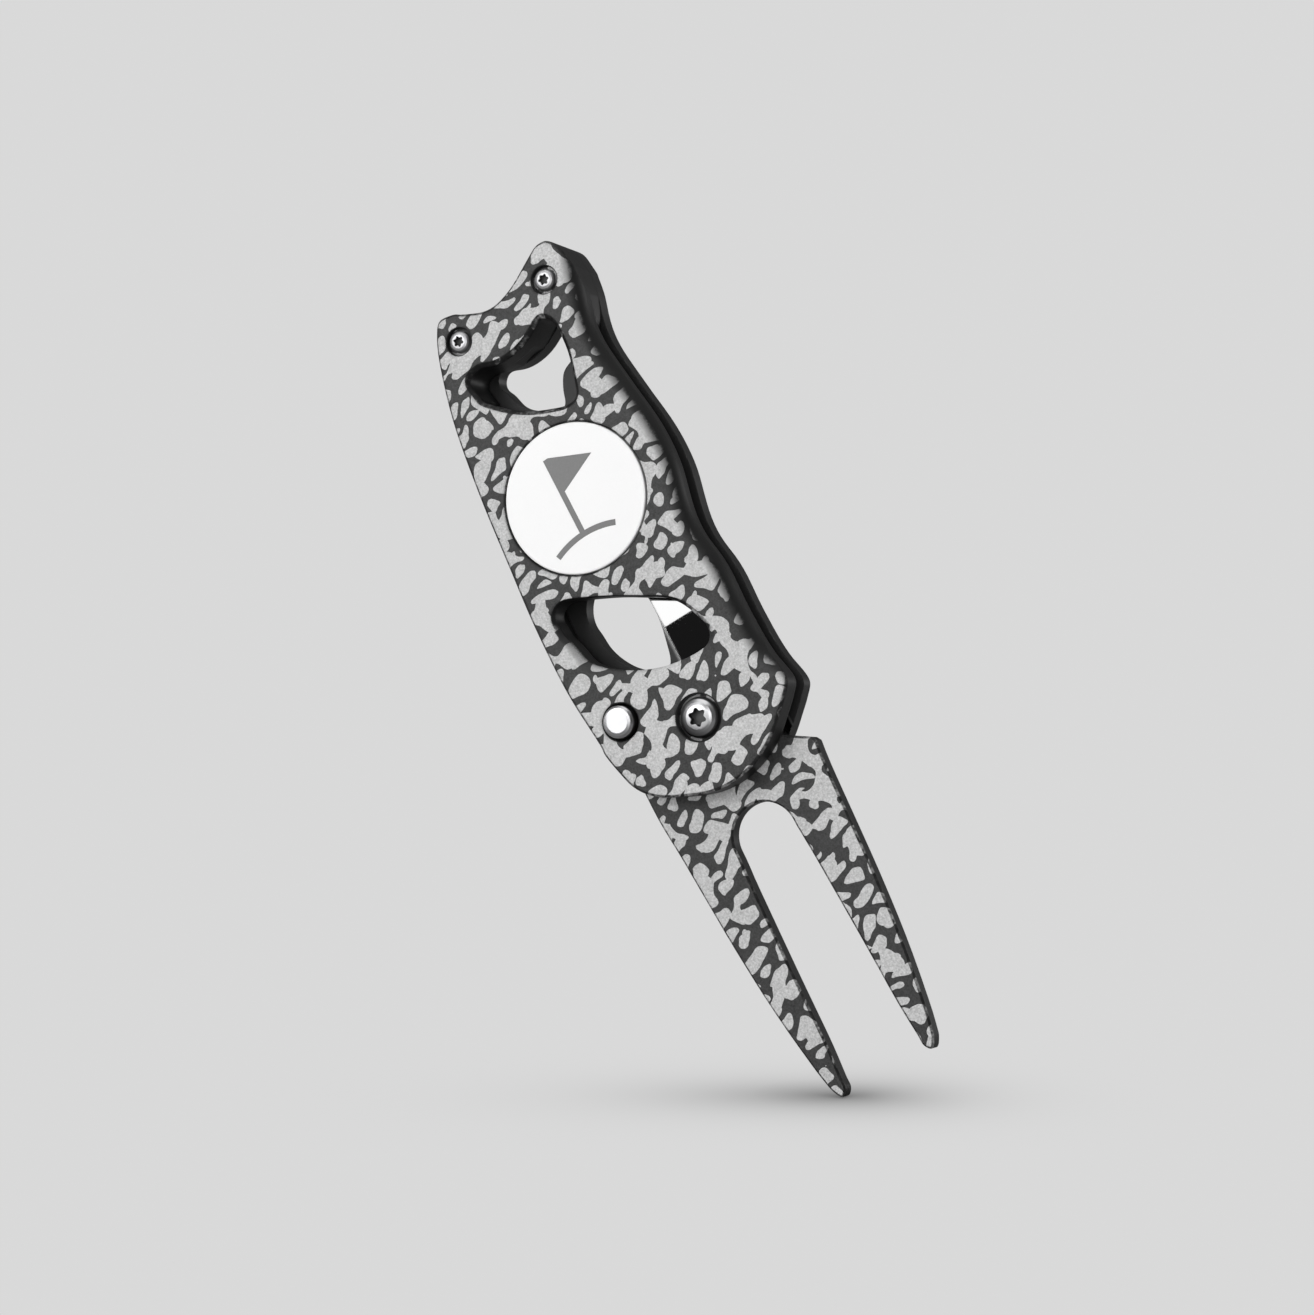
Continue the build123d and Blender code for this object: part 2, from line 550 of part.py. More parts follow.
def make_button_spring():
    room = SLOT_BACK + 2.5 - BUTTON_SPRING_SEAT
    pitch = (room - 0.45) / BUTTON_SPRING_TURNS
    helix = Helix(pitch=pitch, height=pitch * BUTTON_SPRING_TURNS, radius=BUTTON_SPRING_R,
                  center=(0, 0, 0), direction=(0, 0, 1))
    profile = Plane(origin=helix @ 0, z_dir=helix % 0) * Circle(BUTTON_WIRE / 2)
    coil = Rot(-90, 0, 0) * sweep(profile, path=helix, is_frenet=True)
    return Pos(BUTTON[0], BUTTON_SPRING_SEAT + 0.22, BUTTON[1]) * coil


# ---- button ----------------------------------------------------------------
def make_button():
    """Domed head, wider collar at the back, and a blind hollow open to the back."""
    back = FORK_BACK - 0.05
    collar_front = FORK_BACK - 1.95
    cavity_r = 1.72
    return turned(BUTTON, [
        (0, -BUTTON_OUT), (1.75, -BUTTON_OUT), (2.2, -BUTTON_OUT + 0.12),
        (BUTTON_R, -BUTTON_OUT + 0.5), (BUTTON_R, collar_front), (COLLAR_R, collar_front),
        (COLLAR_R, back - 0.15), (COLLAR_R - 0.15, back), (cavity_r, back),
        (cavity_r, BUTTON_CAVITY_FLOOR), (0, BUTTON_CAVITY_FLOOR)])


# ---- marker ----------------------------------------------------------------
def emblem(y0, y1):
    """Flagstick, pennant and the arc of a green, joined into one piece."""
    left, right, foot, top = -1.9, -0.95, -6.0, 7.9
    stick = [(left, foot), (right, foot), (right, top), (left, top)]
    flag = [(right, top), (5.9, 4.8), (right, 1.8)]
    centre, radius, width = (-1.4, -20.0), 14.3, 0.95
    start, end = 67, 113
    outer_r, inner_r = radius + width / 2, radius - width / 2
    green = Face(Wire([
        arc(centre, outer_r, start, end),
        line(polar(centre, outer_r, end), polar(centre, inner_r, end)),
        arc(centre, inner_r, end, start),
        line(polar(centre, inner_r, start), polar(centre, outer_r, start))]))
    stick_and_flag = (prism(polygon([vec(p) for p in stick]), y0, y1)
                      + prism(polygon([vec(p) for p in flag]), y0, y1))
    return stick_and_flag + prism(green, y0, y1)


def make_marker():
    front = -MARKER_PROUD
    disc = turned((0, 0), [
        (0, front), (MARKER_R - 0.22, front), (MARKER_R - 0.06, front + 0.07),
        (MARKER_R, front + 0.24), (MARKER_R, MARKER_BACK - 0.2),
        (MARKER_R - 0.2, MARKER_BACK), (0, MARKER_BACK)])
    return disc - emblem(front - 0.5, front + EMBLEM_D)


def make_emblem():
    return emblem(-MARKER_PROUD, -MARKER_PROUD + EMBLEM_D)


def make_magnet():
    front = MARKER_BACK + 0.04
    magnet = rod((0, 0), MAGNET_R, front, front + MAGNET_T)
    return bevelled(magnet, magnet.edges(), MAGNET_BEVEL)


# ---- fasteners -------------------------------------------------------------
def make_body_screws():
    screws = []
    seat = 0.93
    end = BACK - 1.3
    for i, centre in enumerate(SCREWS):
        screw = turned(centre, [
            (0, -0.2), (1.1, -0.2), (1.45, -0.08), (1.7, 0.2), (SCREW_HEAD_R, 0.5),
            (SCREW_HEAD_R, seat), (SCREW_SHANK_R, seat), (SCREW_SHANK_R, BACK - 1.6),
            (SCREW_SHANK_R - 0.25, end), (0, end)])
        screws.append(screw - six_lobe(centre, 0.9, -OVERCUT, 0.55, turn=radians(20 + 25 * i)))
    return Compound(children=screws)


def make_inserts():
    bore = SCREW_SHANK_R + 0.01
    front = SLOT_BACK + 0.05
    seat = BACK - 0.68
    end = BACK - 0.05
    profile = [
        (bore, front), (INSERT_R, front), (INSERT_R, seat), (INSERT_FLANGE_R, seat),
        (INSERT_FLANGE_R, BACK - 0.2), (INSERT_FLANGE_R - 0.15, end), (1.2, end),
        (bore, BACK - 0.25)]
    return Compound(children=[turned(centre, profile) for centre in SCREWS])


def bevelled_pin(centre, radius, y0, y1, bevel):
    return turned(centre, [
        (0, y0), (radius - bevel, y0), (radius, y0 + bevel),
        (radius, y1 - bevel), (radius - bevel, y1), (0, y1)])


def make_pins():
    return Compound(children=[
        bevelled_pin(centre, PIN_R, SLOT_BACK - PIN_REACH, SLOT_BACK + PIN_REACH, bevel=0.15)
        for centre in PINS])


def make_stop_pin():
    return bevelled_pin(STOP_PIN, STOP_PIN_R, SLOT_FRONT - PIN_REACH, SLOT_BACK + PIN_REACH,
                        bevel=0.2)


PARTS = {
    "front_shell": make_front_shell,
    "back_shell": make_back_shell,
    "fork": make_fork,
    "fork_bushing": make_bushing,
    "pivot_barrel": make_pivot_barrel,
    "pivot_screw": make_pivot_screw,
    "pivot_washer_front": make_washer_front,
    "pivot_washer_back": make_washer_back,
    "torsion_spring": make_torsion_spring,
    "release_button": make_button,
    "button_spring": make_button_spring,
    "ball_marker": make_marker,
    "marker_emblem": make_emblem,
    "marker_magnet": make_magnet,
    "body_screws": make_body_screws,
    "screw_inserts": make_inserts,
    "locating_pins": make_pins,
    "stop_pin": make_stop_pin,
}

os.makedirs("parts", exist_ok=True)
for name, make in PARTS.items():
    solids = [Pos(*PART_SHIFT) * solid for solid in make().solids()]
    part = solids[0] if len(solids) == 1 else Compound(children=solids)
    export_step(part, f"parts/{name}.step")
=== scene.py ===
"""Pocket tool with a fork, a release button and a ball marker.

The CAD pieces stay as they are, in metres: the front faces -Y, X runs across
and Z up. The script adds their materials, a floor under the fork, the lights,
the surroundings and the camera.
"""
import bpy, math
from functools import reduce
from mathutils import Matrix, Vector


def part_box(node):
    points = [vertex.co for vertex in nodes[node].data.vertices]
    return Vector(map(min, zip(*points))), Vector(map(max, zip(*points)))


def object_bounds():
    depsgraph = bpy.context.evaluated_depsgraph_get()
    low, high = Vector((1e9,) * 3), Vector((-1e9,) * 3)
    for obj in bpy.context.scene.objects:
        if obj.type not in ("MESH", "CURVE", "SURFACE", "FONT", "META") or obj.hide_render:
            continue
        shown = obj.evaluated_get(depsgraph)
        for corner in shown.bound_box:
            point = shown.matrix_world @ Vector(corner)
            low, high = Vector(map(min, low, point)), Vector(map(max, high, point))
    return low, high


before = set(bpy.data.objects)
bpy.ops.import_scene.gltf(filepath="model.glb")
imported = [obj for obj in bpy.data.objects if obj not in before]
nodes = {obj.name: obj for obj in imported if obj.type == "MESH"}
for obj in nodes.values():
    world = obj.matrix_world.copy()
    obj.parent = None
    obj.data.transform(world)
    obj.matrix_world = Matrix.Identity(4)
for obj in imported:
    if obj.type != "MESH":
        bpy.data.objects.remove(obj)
cad_lo, cad_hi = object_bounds()
scene = bpy.context.scene
scene.view_settings.view_transform = "Standard"
scene.view_settings.look = "None"
scene.view_settings.exposure = 0.0
scene.view_settings.gamma = 1.0


# ---------------------------------------------------------------- node graphs
class Graph:
    """Builds a node tree. Values may be numbers, tuples or sockets."""

    def __init__(self, tree):
        self.tree = tree

    def node(self, kind, inputs=(), **settings):
        """Add a node; inputs maps socket names or indices to values."""
        made = self.tree.nodes.new(kind)
        for setting, value in settings.items():
            setattr(made, setting, value)
        for key, value in dict(inputs).items():
            if isinstance(value, (int, float, tuple)):
                made.inputs[key].default_value = value
            else:
                self.tree.links.new(value, made.inputs[key])
        return made

    def math(self, operation, *values):
        return self.node("ShaderNodeMath", enumerate(values), operation=operation).outputs[0]

    def add(self, first, second):
        return self.math("ADD", first, second)

    def sub(self, first, second):
        return self.math("SUBTRACT", first, second)

    def mul(self, first, second):
        return self.math("MULTIPLY", first, second)

    def maximum(self, first, second):
        return self.math("MAXIMUM", first, second)

    def minimum(self, first, second):
        return self.math("MINIMUM", first, second)

    def plus(self, base, source, by):
        return self.add(base, self.mul(source, by))

    def swing(self, noise, by):
        """Noise centred on zero, by being its full range."""
        return self.mul(self.sub(noise, 0.5), by)

    def vary(self, base, *swings):
        """Base plus some swings, each a pair of noise and range."""
        for noise, by in swings:
            base = self.add(base, self.swing(noise, by))
        return base

    def weighted(self, first, second):
        """Sum of two (value, weight) pairs."""
        return self.add(self.mul(*first), self.mul(*second))

    def hypot(self, first, second):
        return self.math("SQRT", self.weighted((first, first), (second, second)))

    def vector(self, operation, *values):
        made = self.node("ShaderNodeVectorMath", enumerate(values), operation=operation)
        return made.outputs[0]

    def add_vectors(self, first, second):
        return self.vector("ADD", first, second)

    def scale(self, vector, factor):
        inputs = {0: vector, "Scale": factor}
        return self.node("ShaderNodeVectorMath", inputs, operation="SCALE").outputs[0]

    def dot(self, first, second):
        inputs = {0: first, 1: second}
        made = self.node("ShaderNodeVectorMath", inputs, operation="DOT_PRODUCT")
        return made.outputs["Value"]

    def combine(self, x, y, z):
        return self.node("ShaderNodeCombineXYZ", {0: x, 1: y, 2: z}).outputs[0]

    def grey(self, value):
        return self.combine(value, value, value)

    def separate(self, vector):
        return self.node("ShaderNodeSeparateXYZ", {0: vector}).outputs

    def noise(self, place, scale, detail=2.0, rough=0.5, out="Fac", dim="3D"):
        inputs = {"Vector": place, "Scale": scale, "Detail": detail, "Roughness": rough}
        return self.node("ShaderNodeTexNoise", inputs, noise_dimensions=dim).outputs[out]

    def ramp(self, value, start, end, low=0.0, high=1.0, interp="SMOOTHSTEP"):
        """Go from low to high as value goes from start to end."""
        inputs = {"Value": value, "From Min": start, "From Max": end,
                  "To Min": low, "To Max": high}
        made = self.node("ShaderNodeMapRange", inputs, interpolation_type=interp)
        return made.outputs["Result"]

    def mix_colour(self, factor, first, second):
        inputs = {0: factor, 6: first, 7: second}
        return self.node("ShaderNodeMix", inputs, data_type="RGBA").outputs[2]

    def mix_value(self, factor, first, second):
        inputs = {0: factor, 2: first, 3: second}
        return self.node("ShaderNodeMix", inputs, data_type="FLOAT").outputs[0]

    def place(self):
        """Object coordinates, in metres."""
        own = self.node("ShaderNodeTexCoord").outputs["Object"]
        return self.add_vectors(own, (0.0, 0.0, 0.0))

    def normal(self):
        return self.node("ShaderNodeNewGeometry").outputs["Normal"]

    def to_object(self, normal):
        return self.node("ShaderNodeVectorTransform", {0: normal}, vector_type="NORMAL",
                         convert_from="WORLD", convert_to="OBJECT").outputs[0]

    def facing_y(self):
        """Y of the surface normal in object space."""
        return self.separate(self.to_object(self.normal()))[1]

    def soft_edges(self, radius, samples=4):
        return self.node("ShaderNodeBevel", {"Radius": radius}, samples=samples).outputs[0]

    def bump(self, height, strength, depth, normal):
        inputs = {"Strength": strength, "Distance": depth, "Height": height, "Normal": normal}
        return self.node("ShaderNodeBump", inputs).outputs[0]

    def radius_from(self, place, centre):
        """Distance from an axis along Y through centre (x, z); then dx, y and dz."""
        x, y, z = self.separate(place)
        dx = self.sub(x, centre[0])
        dz = self.sub(z, centre[1])
        return self.hypot(dx, dz), dx, y, dz

    def bare_edges(self, place, scale, start, end, amount):
        """How much metal shows on the sharpest edges, in patches."""
        aligned = self.dot(self.soft_edges(0.00018), self.normal())
        edges = self.ramp(self.sub(1.0, aligned), start=0.0, end=0.08)
        patches = self.noise(place, scale, detail=3.0, rough=0.6)
        return self.mul(self.mul(edges, self.ramp(patches, start, end)), amount)

    def camera_ray(self):
        return self.node("ShaderNodeLightPath").outputs["Is Camera Ray"]

    def principled(self, inputs):
        shader = self.node("ShaderNodeBsdfPrincipled", inputs)
        self.node("ShaderNodeOutputMaterial", {0: shader.outputs[0]})


def flat_grey(value):
    return (value, value, value, 1.0)


def empty_graph(owner):
    """Graph of a material or world, cleared of its default nodes."""
    owner.use_nodes = True
    owner.node_tree.nodes.clear()
    return Graph(owner.node_tree)


def new_material(name):
    material = bpy.data.materials.new(name)
    return material, empty_graph(material)


def new_group(name, inputs):
    """Node group with the given (name, kind) inputs; also gives their sockets."""
    tree = bpy.data.node_groups.new(name, "ShaderNodeTree")
    for socket, kind in inputs:
        tree.interface.new_socket(socket, in_out="INPUT", socket_type=kind)
    graph = Graph(tree)
    return graph, graph.node("NodeGroupInput").outputs


def close_group(graph, name, value):
    graph.tree.interface.new_socket(name, in_out="OUTPUT", socket_type="NodeSocketFloat")
    graph.node("NodeGroupOutput", {0: value})
    return graph.tree


# ---------------------------------------------------------------- the print
# Lengths here are in millimetres.
CELL_RATE = (0.220, 0.395)  # cells per mm along and across their long axis
CELL_TURN = 0.40  # radians
CELL_JITTER = 0.78
CELL_SLOPE = 0.6  # distance over which a cell's value rises by one
CHANNEL = 0.53  # distance from a cell's border to the island's edge
CLOSED = 0.6  # how far below zero that distance goes where a channel closes
RING_RADIUS = 0.5  # the cells are averaged over a ring, which rounds the islands
RING_TAPS = 7
RING_START = 0.3  # radians


def make_cell_group():
    """Inside-an-island value at one place: wandering channels between long cells."""
    graph, (vector, width, *_) = new_group(
        "print_cell", [("Vector", "NodeSocketVector"), ("Width", "NodeSocketFloat")])
    x, y, _ = graph.separate(vector)
    rate_x, rate_y = CELL_RATE
    cos, sin = math.cos(CELL_TURN), math.sin(CELL_TURN)
    turned = graph.combine(graph.weighted((x, cos * rate_x), (y, sin * rate_x)),
                           graph.weighted((x, -sin * rate_y), (y, cos * rate_y)), 0.0)
    border = graph.node(
        "ShaderNodeTexVoronoi", {"Vector": turned, "Scale": 1.0, "Randomness": CELL_JITTER},
        feature="DISTANCE_TO_EDGE", voronoi_dimensions="2D").outputs["Distance"]
    distance = graph.math("DIVIDE", border, (rate_x + rate_y) / 2)
    value = graph.math("DIVIDE", graph.sub(distance, width), CELL_SLOPE)
    limited = graph.node("ShaderNodeClamp", {0: value, 1: -1.0, 2: 1.0}).outputs[0]
    return close_group(graph, "Value", limited)


def warp(graph, points, source, scale, reach):
    """Move points by a noise read at source, over a full range of reach."""
    noise = graph.noise(source, scale, detail=1.0, out="Color", dim="2D")
    centred = graph.vector("SUBTRACT", noise, (0.5, 0.5, 0.5))
    return graph.add_vectors(points, graph.scale(centred, reach))


def make_print_group():
    """Two-tone organic print: rounded pale islands of 2 to 8 mm between darker
    channels of about a millimetre. Its input is object coordinates."""
    cell = make_cell_group()
    graph, (vector, *_) = new_group("print", [("Vector", "NodeSocketVector")])
    x, _, z = graph.separate(vector)
    flat = graph.combine(graph.mul(x, 1000.0), graph.mul(z, 1000.0), 0.0)
    warped = warp(graph, flat, flat, scale=0.145, reach=3.5)
    elsewhere = graph.add_vectors(warped, (37.0, 11.0, 0.0))
    warped = warp(graph, warped, elsewhere, scale=0.38, reach=0.8)
    # here and there a channel closes: islands join and leave a blind inlet
    elsewhere = graph.add_vectors(flat, (55.0, 7.0, 0.0))
    opening = graph.noise(elsewhere, scale=0.28, detail=0.0, dim="2D")
    opening = graph.ramp(opening, start=0.33, end=0.39)
    width = graph.sub(graph.mul(opening, CHANNEL + CLOSED), CLOSED)
    offsets = [(0.0, 0.0, 0.0)]
    for tap in range(RING_TAPS):
        angle = 2 * math.pi * tap / RING_TAPS + RING_START
        offsets.append((RING_RADIUS * math.cos(angle), RING_RADIUS * math.sin(angle), 0.0))
    taps = [graph.node("ShaderNodeGroup", {0: graph.add_vectors(warped, offset), 1: width},
                       node_tree=cell).outputs[0] for offset in offsets]
    mean = graph.math("DIVIDE", reduce(graph.add, taps), float(len(offsets)))
    return close_group(graph, "Light", graph.ramp(mean, start=-0.03, end=0.03))


PRINT = make_print_group()

# ---------------------------------------------------------------- materials
BARE = flat_grey(0.30)  # metal showing on worn edges
BARE_METALLIC = 0.8


def print_material(name, shift, soft_radius, both_faces=False, fades_and_shades=False, rims=()):
    """Black anodised aluminium with the print on its front, or on both faces.

    shift moves the print, the fade option thins it out and paints it darker over the rounded
    +X side, as ink fade and painted shade together, and rims are the (x, z, radius) of sunk
    rims left black.
    """
    pale_level, dark_level, black_level = 0.50, 0.034, 0.012
    material, graph = new_material(name)
    place = graph.place()
    islands = graph.node("ShaderNodeGroup", {0: graph.add_vectors(place, shift)},
                         node_tree=PRINT).outputs[0]
    facing = graph.mul(graph.facing_y(), -1.0)
    if both_faces:
        facing = graph.math("ABSOLUTE", facing, 0.0)
    grain = graph.noise(place, scale=3400.0, rough=0.65)
    coarse = graph.noise(place, scale=1300.0, rough=0.55)
    cloud = graph.noise(place, scale=90.0, detail=3.0, rough=0.55)
    # ink lies on faces turned to the front and ends in a grainy way
    face = graph.ramp(graph.vary(facing, (coarse, 0.30)), start=0.64, end=0.86)
    for x, z, radius in rims:
        beyond = graph.ramp(graph.radius_from(place, (x, z))[0],
                            start=radius, end=radius + 0.00004, interp="LINEAR")
        level = graph.ramp(facing, start=0.96, end=0.99)
        face = graph.mul(face, graph.maximum(beyond, level))
    # ink fade and painted shade: the print goes darker over the rounded +X side
    fade_and_shade = 1.0
    if fades_and_shades:
        rounded = graph.to_object(graph.soft_edges(0.0012, samples=6))
        sideways = graph.vary(graph.separate(rounded)[0], (grain, 0.35))
        fade_and_shade = graph.ramp(sideways, start=0.16, end=0.74, low=1.0, high=0.0, interp="LINEAR")
    ink = graph.mul(islands, face)

    # colours: speckled pale and dark ink over black; on the rounded side both inks go darker,
    # as ink fade and painted shade
    pale = graph.vary(pale_level, (grain, 0.62), (coarse, 0.18), (cloud, 0.06))
    pale = graph.maximum(graph.mul(pale, fade_and_shade), 0.012)
    dark = graph.vary(dark_level, (grain, 0.06), (coarse, 0.03))
    dark = graph.maximum(graph.mul(dark, fade_and_shade), 0.010)
    black = graph.vary(black_level, (cloud, 0.006))
    base = graph.mix_colour(face, graph.grey(black), graph.grey(dark))
    base = graph.mix_colour(ink, base, graph.grey(pale))
    wear = graph.bare_edges(place, scale=420.0, start=0.50, end=0.66, amount=0.25)
    rough = graph.vary(graph.plus(0.42, face, by=0.13), (cloud, 0.14), (coarse, 0.10))

    # blasted texture, and the ink's tiny thickness
    blasted = graph.weighted((grain, 0.5), (coarse, 0.5))
    normal = graph.bump(blasted, strength=0.35, depth=0.00005,
                        normal=graph.soft_edges(soft_radius))
    graph.principled({
        "Base Color": graph.mix_colour(wear, base, BARE),
        "Metallic": graph.mul(wear, BARE_METALLIC),
        "Roughness": rough,
        "Specular IOR Level": graph.plus(0.20, face, by=0.12),
        "Normal": graph.bump(ink, strength=0.25, depth=0.00003, normal=normal),
    })
    return material


def black_material(name):
    """Black anodised aluminium: blasted, with a mirror-like patch in the slot."""
    mirror_rough, blasted_rough = 0.010, 0.40
    mirror_colour = flat_grey(0.28)
    material, graph = new_material(name)
    place = graph.place()
    facing = graph.facing_y()

    def front_faces():
        return graph.ramp(graph.mul(facing, -1.0), start=0.975, end=0.995)

    # the patch lies beside the finger hole only; the rest of the slot is satin
    x, _, z = graph.separate(place)
    mirror = graph.mul(front_faces(), graph.ramp(x, start=-0.0005, end=0.0005))
    for along, start, end in ((x, 0.0112, 0.0118), (z, 0.1035, 0.1045)):
        mirror = graph.mul(mirror, graph.ramp(along, start, end, low=1.0, high=0.0))
    blasted = graph.sub(1.0, mirror)
    grain = graph.noise(place, scale=5200.0, rough=0.6)
    coarse = graph.noise(place, scale=1500.0, rough=0.55)
    cloud = graph.noise(place, scale=70.0, detail=3.0, rough=0.55)

    level = graph.vary(0.013, (cloud, 0.006))
    level = graph.plus(level, graph.swing(grain, by=0.008), by=blasted)
    # faces turned to the front are painted a little paler: painted light lifting the shaded
    # slot between the shells
    level = graph.plus(level, front_faces(), by=0.006)
    base = graph.mix_colour(mirror, graph.grey(level), mirror_colour)
    wear = graph.bare_edges(place, scale=380.0, start=0.52, end=0.68, amount=0.35)
    rough = graph.mix_value(mirror, blasted_rough, mirror_rough)
    height = graph.mul(graph.weighted((grain, 0.5), (coarse, 0.5)), blasted)
    graph.principled({
        "Base Color": graph.mix_colour(wear, base, BARE),
        "Metallic": graph.maximum(graph.mul(wear, BARE_METALLIC), mirror),
        "Roughness": graph.plus(rough, graph.swing(cloud, by=0.12), by=blasted),
        "Specular IOR Level": 0.24,
        "Normal": graph.bump(height, strength=0.35, depth=0.00004,
                             normal=graph.soft_edges(0.00015)),
    })
    return material


def paint_shade_on_heads(graph, place, cloud, base, centres, front, socket, shade):
    """Paint shade on each head, darker towards its lower left, and paint its recess below the
    rim dark grey as painted shade.

    Gives the colour and the mask of the recesses.
    """
    depth = graph.ramp(graph.separate(place)[1], start=front + 0.00015, end=front + 0.00045)
    inner = [graph.ramp(graph.radius_from(place, centre)[0],
                        start=socket * 0.96, end=socket, low=1.0, high=0.0)
             for centre in centres]
    recess = graph.mul(depth, reduce(graph.maximum, inner))
    # painted shade: each head goes darker towards its lower left, down to the shade level on
    # that side
    shades = []
    for centre in centres:
        radius, dx, _, dz = graph.radius_from(place, centre)
        slant = graph.weighted((dx, 0.90), (dz, 0.42))
        slant = graph.vary(slant, (cloud, 0.0006))
        painted_slant_shade = graph.ramp(slant, start=-socket * 1.7, end=socket * 0.5, low=shade)
        beyond = graph.ramp(radius, start=0.0042, end=0.0043)
        shades.append(graph.maximum(painted_slant_shade, beyond))
    base = graph.scale(base, reduce(graph.minimum, shades))
    # painted shade: the recesses are coloured dark grey
    return graph.mix_colour(recess, base, flat_grey(0.10)), recess


def dome_heads(graph, place, normal, centres, dome):
    """Lean the normal outwards with the radius; dome is the lean per millimetre."""
    leans = []
    for centre in centres:
        radius, dx, _, dz = graph.radius_from(place, centre)
        within = graph.ramp(radius, start=0.0042, end=0.0044, low=1.0, high=0.0,
                            interp="LINEAR")
        outwards = graph.combine(dx, 0.0, dz)
        leans.append(graph.scale(outwards, graph.mul(within, dome * 1000.0)))
    lean = graph.node("ShaderNodeVectorTransform", {0: reduce(graph.add_vectors, leans)},
                      vector_type="VECTOR", convert_from="OBJECT", convert_to="WORLD")
    return graph.vector("NORMALIZE", graph.add_vectors(normal, lean.outputs[0]))


def metal_material(name, colour, rough, scratch, axis=None, stain=None, heads=None, dome=0.0):
    """Bare metal. With an axis (x, z) the marks run round it, as turned.

    heads holds the centres, front, socket radius and painted shade level of screw heads.
    """
    material, graph = new_material(name)
    place = graph.place()
    cloud = graph.noise(place, scale=260.0, detail=3.0, rough=0.55)
    fine = graph.noise(place, scale=6000.0, rough=0.6)
    if axis is not None:
        radius, _, y, _ = graph.radius_from(place, axis)
        marks = graph.noise(graph.combine(radius, graph.mul(y, 1.0), 0.0), scale=9000.0)
    else:
        stretched = graph.vector("MULTIPLY", place, (1.0, 0.06, 1.0))
        marks = graph.noise(stretched, scale=5200.0)
    base = graph.scale(colour, graph.vary(0.90, (cloud, 0.20)))
    if stain is not None:
        patches = graph.noise(place, scale=900.0, detail=3.0, rough=0.6)
        base = graph.mix_colour(graph.ramp(patches, start=0.50, end=0.72), base, stain)
    rough = graph.vary(rough, (cloud, 0.12), (marks, 0.08))
    normal = graph.soft_edges(0.0001)
    if heads:
        # painted shade on the heads, and dark grey painted into their recesses
        base, recess = paint_shade_on_heads(graph, place, cloud, base, **heads)
        rough = graph.plus(rough, recess, by=0.30)
        normal = dome_heads(graph, place, normal, heads["centres"], dome)
    height = graph.weighted((marks, 0.7), (fine, 0.3))
    graph.principled({
        "Base Color": base,
        "Metallic": 1.0,
        "Roughness": graph.maximum(rough, 0.04),
        "Normal": graph.bump(height, strength=scratch, depth=0.000012, normal=normal),
    })
    return material


def marker_material(name, level, rough):
    """Grey enamel of the given level under a thin coat."""
    material, graph = new_material(name)
    place = graph.place()
    cloud = graph.noise(place, scale=120.0, detail=3.0)
    fine = graph.noise(place, scale=3600.0, rough=0.6)
    height = graph.weighted((fine, 0.6), (cloud, 0.8))
    graph.principled({
        "Base Color": graph.grey(graph.vary(level, (cloud, 0.03), (fine, 0.03))),
        "Roughness": graph.vary(rough, (cloud, 0.12)),
        "Coat Weight": 0.35,
        "Coat Roughness": 0.12,
        "Normal": graph.bump(height, strength=0.10, depth=0.00003,
                             normal=graph.soft_edges(0.0001)),
    })
    return material


def plastic_material(name, colour):
    material, graph = new_material(name)
    place = graph.place()
    cloud = graph.noise(place, scale=300.0, detail=3.0)
    fine = graph.noise(place, scale=4200.0, rough=0.6)
    graph.principled({
        "Base Color": graph.scale(colour, graph.vary(0.94, (cloud, 0.16))),
        "Roughness": graph.vary(0.42, (fine, 0.2)),
        "Subsurface Weight": 0.15,
        "Subsurface Scale": 0.001,
        "Normal": graph.bump(fine, strength=0.2, depth=0.00003,
                             normal=graph.soft_edges(0.0001)),
    })
    return material


# ---------------------------------------------------------------- the pieces
def centre_of(node):
    """Centre (x, z) of a piece's box."""
    low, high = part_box(node)
    return ((low.x + high.x) / 2, (low.z + high.z) / 2)


def middle(values):
    return (min(values) + max(values)) / 2


def screw_centres(points):
    """Axes (x, z) of the two body screws, from the two halves of their mesh."""
    split = middle([point.x for point in points])
    halves = ([point for point in points if point.x < split],
              [point for point in points if point.x >= split])
    return [(middle([point.x for point in half]), middle([point.z for point in half]))
            for half in halves]


pivot = centre_of("pivot_screw")
button = centre_of("release_button")
magnet = centre_of("marker_magnet")
screw_points = [vertex.co for vertex in nodes["body_screws"].data.vertices]
screws = screw_centres(screw_points)
rims = [(*pivot, 0.0046), (*button, 0.0040)] + [(*screw, 0.0030) for screw in screws]
# shade is how dark the painted shade makes the lower left of each head
pivot_head = dict(centres=[pivot], front=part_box("pivot_screw")[0].y,
                  socket=0.0019, shade=0.22)
screw_heads = dict(centres=screws, front=min(point.y for point in screw_points),
                   socket=0.0011, shade=0.70)

WIRE = (0.55, 0.55, 0.57)
DARK_STEEL = (0.22, 0.22, 0.23)
ACETAL = (0.80, 0.80, 0.77)

